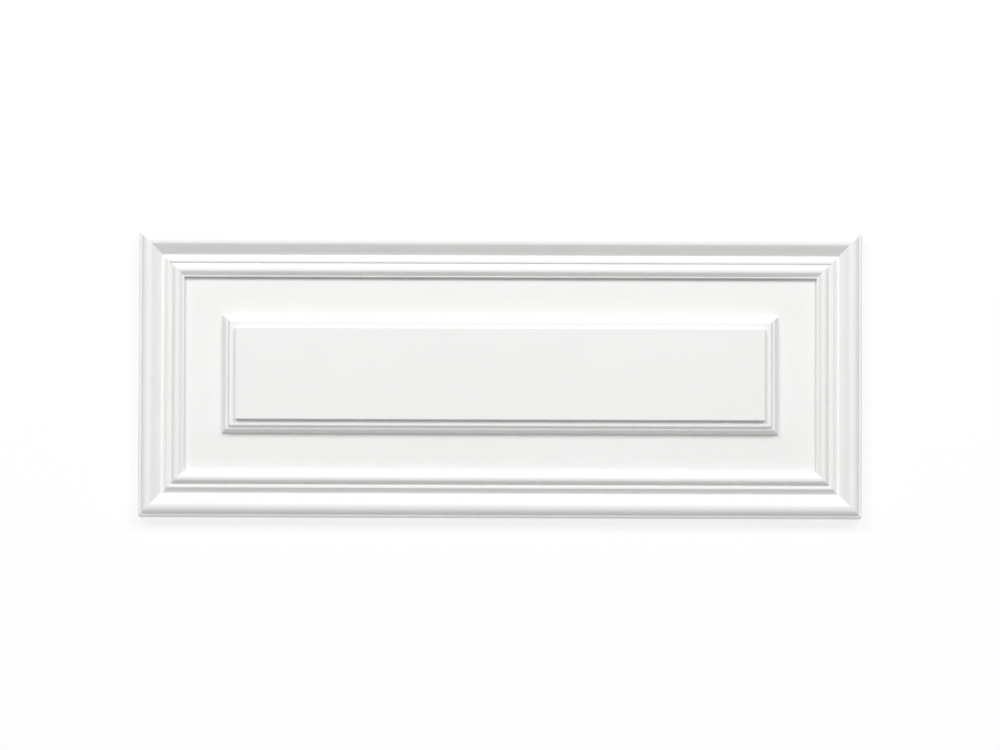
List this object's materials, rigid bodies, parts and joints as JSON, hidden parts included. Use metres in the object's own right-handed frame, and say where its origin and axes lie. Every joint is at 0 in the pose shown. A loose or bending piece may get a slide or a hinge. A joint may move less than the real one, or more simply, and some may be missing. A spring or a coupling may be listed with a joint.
{
  "type": "wall panel",
  "caption": "Rectangular moulded wall panel: a frame with a nose, an ogee, a cove and a bead round a flat field, and a raised centre with stepped edges. Flat back for gluing to a wall.",
  "frame": {"origin": "centre of the flat back face", "axes": "+X along the panel's length, +Y across its width towards its top edge as hung, +Z out of the moulded face"},
  "size_m": [0.43, 0.17, 0.017],
  "materials": {
    "primer": "smooth matt white primer, sprayed on moulded polyurethane in the factory"
  },
  "bodies": {
    "root": {"panel": "primer"}
  },
  "joints": []
}
